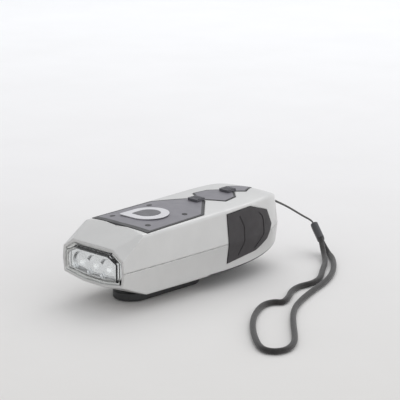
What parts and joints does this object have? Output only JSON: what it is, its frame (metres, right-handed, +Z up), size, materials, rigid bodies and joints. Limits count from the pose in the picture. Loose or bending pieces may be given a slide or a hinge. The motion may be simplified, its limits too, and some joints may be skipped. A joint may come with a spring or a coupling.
{
  "type": "hand crank flashlight",
  "caption": "Palm-sized hand crank flashlight with clear lens over LEDs, rotary selector, slide switches, side grips, folding crank under the body and a wrist strap.",
  "frame": {"origin": "on the floor, under the middle of the body", "axes": "+Z up, -Y the way the lens looks, +X the body's left side as it looks forward"},
  "size_m": [0.1644, 0.1908, 0.0529],
  "materials": {
    "silver_shell": "satin silver paint on moulded plastic",
    "grey_trim": "fine moulded grain, warm grey",
    "grip_rubber": "matt, soft",
    "black_plastic": "fine moulded grain",
    "knob_silver": "satin silver paint",
    "knob_insert": "satin dark grey",
    "clear_lens": "clear moulded plastic",
    "gasket_rubber": "soft black",
    "reflector_chrome": "vacuum metallised plastic",
    "led_epoxy": "clear epoxy",
    "green_board": "green solder mask",
    "chip_black": "moulded epoxy",
    "steel": "zinc plated",
    "gear_nylon": "natural nylon",
    "coil_copper": "enamelled copper winding",
    "magnet_iron": "sintered, dark",
    "cell_wrap": "blue shrink sleeve",
    "bush_brass": "turned",
    "strap_braid": "braided polyester cord",
    "ferrule_plastic": "moulded dark grey"
  },
  "bodies": {
    "housing": {"upper_shell": "silver_shell", "lower_shell": "silver_shell", "top_panel": "grey_trim", "middle_trim": "grey_trim", "tail_trim": "grey_trim", "grip_right": "grip_rubber", "grip_left": "grip_rubber", "belly_cover": "black_plastic", "case_screws": "steel", "plate_screws": "steel", "gear_plate": "black_plastic", "idler_axles": "steel", "cell_cradle": "black_plastic", "cells": "cell_wrap", "crank_bush": "bush_brass", "board_screws": "steel", "main_board": "green_board", "selector_switch": "chip_black", "board_chips": "chip_black", "storage_capacitor": "cell_wrap", "front_switch": "chip_black", "rear_switch": "chip_black", "position_marks": "grip_rubber", "lanyard_pin": "steel", "lanyard_cord": "strap_braid", "wrist_strap": "strap_braid", "ferrule": "ferrule_plastic", "stator_core": "magnet_iron", "stator_coils": "coil_copper", "stator_cap": "black_plastic", "lens_cover": "clear_lens", "lens_gasket": "gasket_rubber", "reflector": "reflector_chrome", "leds": "led_epoxy", "led_board": "green_board", "led_resistors": "chip_black"},
    "crank": {"crank_arm": "black_plastic", "crank_shaft": "steel", "hub_cap": "steel", "drive_gear": "gear_nylon", "hinge_pin": "steel"},
    "handle": {"crank_handle": "black_plastic"},
    "idler_1": {"idler_gear_1": "gear_nylon"},
    "idler_2": {"idler_gear_2": "gear_nylon"},
    "rotor": {"rotor_pinion": "bush_brass", "rotor_shaft": "steel", "rotor_magnet": "magnet_iron"},
    "selector": {"selector_knob": "knob_silver", "selector_insert": "knob_insert"},
    "front_slide": {"front_slider": "knob_insert"},
    "rear_slide": {"rear_slider": "knob_insert"}
  },
  "joints": [
    {"name": "crank_turn", "type": "hinge", "parent": "housing", "child": "crank", "pos_m": [0, -0.003, 0.003], "axis": [0, 0, 1], "continuous": true},
    {"name": "handle_fold", "type": "hinge", "parent": "crank", "child": "handle", "pos_m": [0, -0.0395, 0.002], "axis": [-1, 0, 0], "range_deg": [0, 90]},
    {"name": "idler_1_turn", "type": "hinge", "parent": "housing", "child": "idler_1", "pos_m": [0, 0.023, 0.0145], "axis": [0, 0, 1], "continuous": true},
    {"name": "idler_2_turn", "type": "hinge", "parent": "housing", "child": "idler_2", "pos_m": [0.013, 0.00998, 0.0185], "axis": [0, 0, 1], "continuous": true},
    {"name": "rotor_turn", "type": "hinge", "parent": "housing", "child": "rotor", "pos_m": [0, 0.00478, 0.0205], "axis": [0, 0, 1], "continuous": true},
    {"name": "selector_turn", "type": "hinge", "parent": "housing", "child": "selector", "pos_m": [0, -0.031, 0.04894], "axis": [0, -0.0294, 0.9996], "range_deg": [0, 270]},
    {"name": "front_slide_travel", "type": "slide", "parent": "housing", "child": "front_slide", "axis": [0, -1, 0], "range_m": [0, 0.0024]},
    {"name": "rear_slide_travel", "type": "slide", "parent": "housing", "child": "rear_slide", "axis": [0, -1, 0], "range_m": [0, 0.0024]}
  ],
  "couplings": [
    {"joint": "idler_2_turn", "follows": "rotor_turn", "ratio": -0.33333},
    {"joint": "idler_1_turn", "follows": "rotor_turn", "ratio": 0.092593},
    {"joint": "crank_turn", "follows": "rotor_turn", "ratio": -0.027778}
  ]
}
